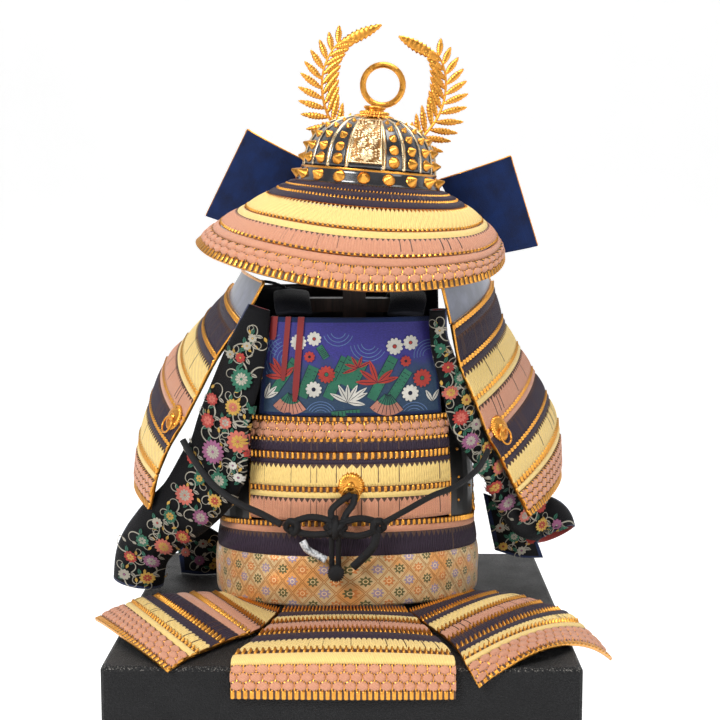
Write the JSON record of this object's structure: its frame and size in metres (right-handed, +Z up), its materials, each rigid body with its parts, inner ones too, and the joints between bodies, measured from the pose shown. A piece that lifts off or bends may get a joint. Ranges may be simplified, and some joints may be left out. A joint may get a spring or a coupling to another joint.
{
  "type": "samurai armour set on its armour chest",
  "caption": "Laced display samurai armour with helmet, shoulder guards, sleeves, sash and skirts, on a wooden stand and black armour chest.",
  "frame": {"origin": "centre of the underside of the armour chest", "axes": "+Z up; the back of the armour faces -Y, the front +Y; +X is to the right when looking at the back"},
  "size_m": [0.4749, 0.4007, 0.9077],
  "materials": {
    "chest_leather": "fine pebbled grain, satin",
    "stand_wood": "stained, satin",
    "back_brocade": "silk brocade",
    "lacing_salmon": "flat braided silk cord over gilt scale heads",
    "lacing_yellow": "flat braided silk cord over gilt scale heads",
    "lacing_purple": "flat braided silk cord over gilt scale heads",
    "lacing_mixed": "rows of purple, yellow and salmon braided cord over gilt scale heads",
    "side_leather": "smooth lacquered",
    "strap_cloth": "plain weave",
    "sash_brocade": "gold brocade, satin",
    "cap_plate": "smooth, gilt rim",
    "helmet_black": "gloss lacquer with gilt ribs and rivets",
    "gilt": "gilt, polished",
    "silver_gilt": "pale gilt relief",
    "sleeve_brocade": "black silk brocade with flowers and vines",
    "black_cord": "braided silk cord",
    "red_tie": "flat lacquered tie"
  },
  "bodies": {
    "root": {"chest_body": "chest_leather", "chest_lid": "chest_leather", "stand_foot_board": "stand_wood", "stand_post": "stand_wood", "back_plate": "back_brocade", "back_lame_knots": "lacing_salmon", "back_lame_salmon": "lacing_salmon", "neck_guard_salmon": "lacing_salmon", "neck_guard_knots": "lacing_salmon", "guard_left_last_lame": "lacing_salmon", "guard_right_last_lame": "lacing_salmon", "back_lame_yellow": "lacing_yellow", "neck_guard_yellow": "lacing_yellow", "front_lames": "lacing_yellow", "waist_lame": "lacing_purple", "neck_guard_purple": "lacing_purple", "skirt_back": "lacing_mixed", "skirt_left": "lacing_mixed", "skirt_right": "lacing_mixed", "skirt_front": "lacing_mixed", "guard_left_laced": "lacing_mixed", "guard_right_laced": "lacing_mixed", "side_plate_left": "side_leather", "side_plate_right": "side_leather", "shoulder_strap_left": "strap_cloth", "shoulder_strap_right": "strap_cloth", "helmet_wing_left": "strap_cloth", "helmet_wing_right": "strap_cloth", "sash": "sash_brocade", "guard_left_cap": "cap_plate", "guard_right_cap": "cap_plate", "helmet_bowl": "helmet_black", "helmet_band": "helmet_black", "helmet_peak": "helmet_black", "helmet_finial": "gilt", "crest_frond_left": "gilt", "crest_frond_right": "gilt", "crest_holder": "gilt", "crest_ring": "gilt", "mount_back": "gilt", "mount_left": "gilt", "mount_right": "gilt", "helmet_back_plate": "silver_gilt", "sleeve_left": "sleeve_brocade", "sleeve_right": "sleeve_brocade", "sleeve_left_flap": "sleeve_brocade", "sleeve_right_flap": "sleeve_brocade", "bow_knot": "black_cord", "bow_tail_left": "black_cord", "side_cord_left": "black_cord", "side_cord_right": "black_cord", "guard_tie_left": "black_cord", "guard_tie_right": "black_cord", "tie_red_short": "red_tie", "tie_red_middle": "red_tie", "tie_red_long": "red_tie"}
  },
  "joints": []
}
